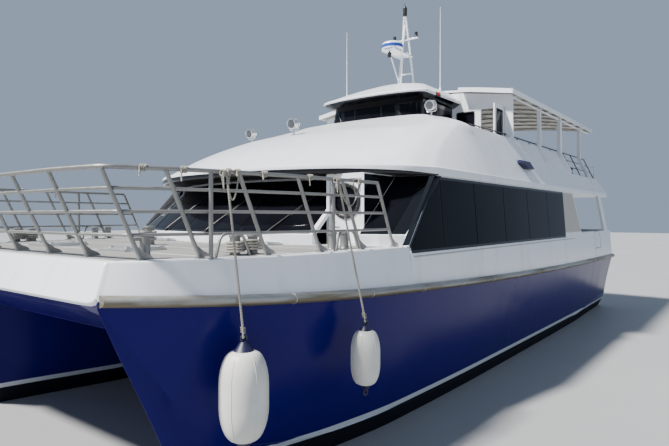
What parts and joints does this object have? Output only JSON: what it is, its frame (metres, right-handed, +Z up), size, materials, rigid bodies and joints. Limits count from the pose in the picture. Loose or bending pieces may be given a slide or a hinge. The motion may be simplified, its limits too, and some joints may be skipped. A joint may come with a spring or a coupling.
{
  "type": "passenger ferry",
  "caption": "Twin-hull passenger ferry: blue hulls, white deckhouse with a raked dark windscreen, wheelhouse on top, open upper deck under a canopy, railed foredeck.",
  "frame": {"origin": "on the centreline amidships, at the waterline", "axes": "+X towards the bow, +Y to port, +Z up"},
  "size_m": [20.184, 8.1255, 10.82],
  "materials": {
    "hull_paint": "gloss, deep blue",
    "white_paint": "gloss, white",
    "deck_paint": "matt, grey, non-slip",
    "bare_alloy": "brushed, weathered",
    "tinted_glass": "dark, polished",
    "black_trim": "matt, black",
    "bronze": "dull, cast",
    "seating": "moulded, dark blue",
    "fender_vinyl": "satin, white",
    "engine_grey": "painted, grey"
  },
  "bodies": {
    "ship": {"hull_port": "hull_paint", "hull_starboard": "hull_paint", "engine_port": "engine_grey", "engine_starboard": "engine_grey", "strake_port": "bare_alloy", "strake_starboard": "bare_alloy", "bridge_deck": "white_paint", "foredeck": "white_paint", "side_wall_port": "white_paint", "side_wall_starboard": "white_paint", "side_glass_port": "tinted_glass", "side_glass_starboard": "tinted_glass", "front_wall": "white_paint", "windscreen": "tinted_glass", "windscreen_side": "tinted_glass", "aft_wall": "white_paint", "upper_deck": "white_paint", "forehead": "white_paint", "coaming_port": "white_paint", "coaming_starboard": "white_paint", "vent_port": "black_trim", "vent_starboard": "black_trim", "wheelhouse": "white_paint", "wheelhouse_glass": "tinted_glass", "wheelhouse_roof": "white_paint", "canopy": "white_paint", "windbreak": "white_paint", "canopy_frame_port": "white_paint", "canopy_frame_starboard": "white_paint", "upper_rail_port": "black_trim", "upper_rail_starboard": "black_trim", "cabin_seats_port": "seating", "cabin_seats_starboard": "seating", "bench_port": "seating", "bench_starboard": "seating", "stairs": "bare_alloy", "bow_rail": "bare_alloy", "mast": "white_paint", "radome": "white_paint", "fender_fwd": "fender_vinyl", "fender_mid": "fender_vinyl", "shaft_port": "bare_alloy", "shaft_starboard": "bare_alloy"},
    "propeller_port": {"propeller_port": "bronze"},
    "propeller_starboard": {"propeller_starboard": "bronze"},
    "rudder_port": {"rudder_port": "bare_alloy"},
    "rudder_starboard": {"rudder_starboard": "bare_alloy"},
    "gate_port": {"gate_port": "white_paint"},
    "gate_starboard": {"gate_starboard": "white_paint"},
    "foredeck_door": {"foredeck_door": "white_paint"},
    "aft_door_port": {"aft_door_port": "white_paint"},
    "aft_door_starboard": {"aft_door_starboard": "white_paint"},
    "bridge_door_port": {"bridge_door_port": "white_paint"},
    "bridge_door_starboard": {"bridge_door_starboard": "white_paint"},
    "wheelhouse_door": {"wheelhouse_door": "white_paint"}
  },
  "joints": [
    {"name": "propeller_port_spin", "type": "hinge", "parent": "ship", "child": "propeller_port", "pos_m": [-8.7, 2.8, -0.86], "axis": [1, 0, 0], "continuous": true},
    {"name": "propeller_starboard_spin", "type": "hinge", "parent": "ship", "child": "propeller_starboard", "pos_m": [-8.7, -2.8, -0.86], "axis": [1, 0, 0], "continuous": true},
    {"name": "rudder_port_turn", "type": "hinge", "parent": "ship", "child": "rudder_port", "pos_m": [-9.5, 2.8, -0.8], "axis": [0, 0, 1], "range_deg": [-35, 35]},
    {"name": "rudder_starboard_turn", "type": "hinge", "parent": "ship", "child": "rudder_starboard", "pos_m": [-9.5, -2.8, -0.8], "axis": [0, 0, 1], "range_deg": [-35, 35]},
    {"name": "gate_port_swing", "type": "hinge", "parent": "ship", "child": "gate_port", "pos_m": [-7.45, 3.655, 2.6], "axis": [0, 0, 1], "range_deg": [0, 95]},
    {"name": "gate_starboard_swing", "type": "hinge", "parent": "ship", "child": "gate_starboard", "pos_m": [-7.45, -3.655, 2.6], "axis": [0, 0, 1], "range_deg": [-95, 0]},
    {"name": "foredeck_door_swing", "type": "hinge", "parent": "ship", "child": "foredeck_door", "pos_m": [5.425, 2.934, 3.5], "axis": [0, 0, 1], "range_deg": [-85, 0]},
    {"name": "aft_door_port_swing", "type": "hinge", "parent": "ship", "child": "aft_door_port", "pos_m": [-5, 0.895, 3.2], "axis": [0, 0, 1], "range_deg": [-95, 0]},
    {"name": "aft_door_starboard_swing", "type": "hinge", "parent": "ship", "child": "aft_door_starboard", "pos_m": [-5, -0.895, 3.2], "axis": [0, 0, 1], "range_deg": [0, 95]},
    {"name": "bridge_door_port_swing", "type": "hinge", "parent": "ship", "child": "bridge_door_port", "pos_m": [-1.19, 2.875, 5.4], "axis": [0, 0, 1], "range_deg": [-90, 0]},
    {"name": "bridge_door_starboard_swing", "type": "hinge", "parent": "ship", "child": "bridge_door_starboard", "pos_m": [-1.19, -2.875, 5.4], "axis": [0, 0, 1], "range_deg": [-90, 0]},
    {"name": "wheelhouse_door_swing", "type": "hinge", "parent": "ship", "child": "wheelhouse_door", "pos_m": [-1.255, 0.39, 5.3], "axis": [0, 0, 1], "range_deg": [-95, 0]}
  ],
  "couplings": [
    {"joint": "rudder_starboard_turn", "follows": "rudder_port_turn", "ratio": 1}
  ]
}
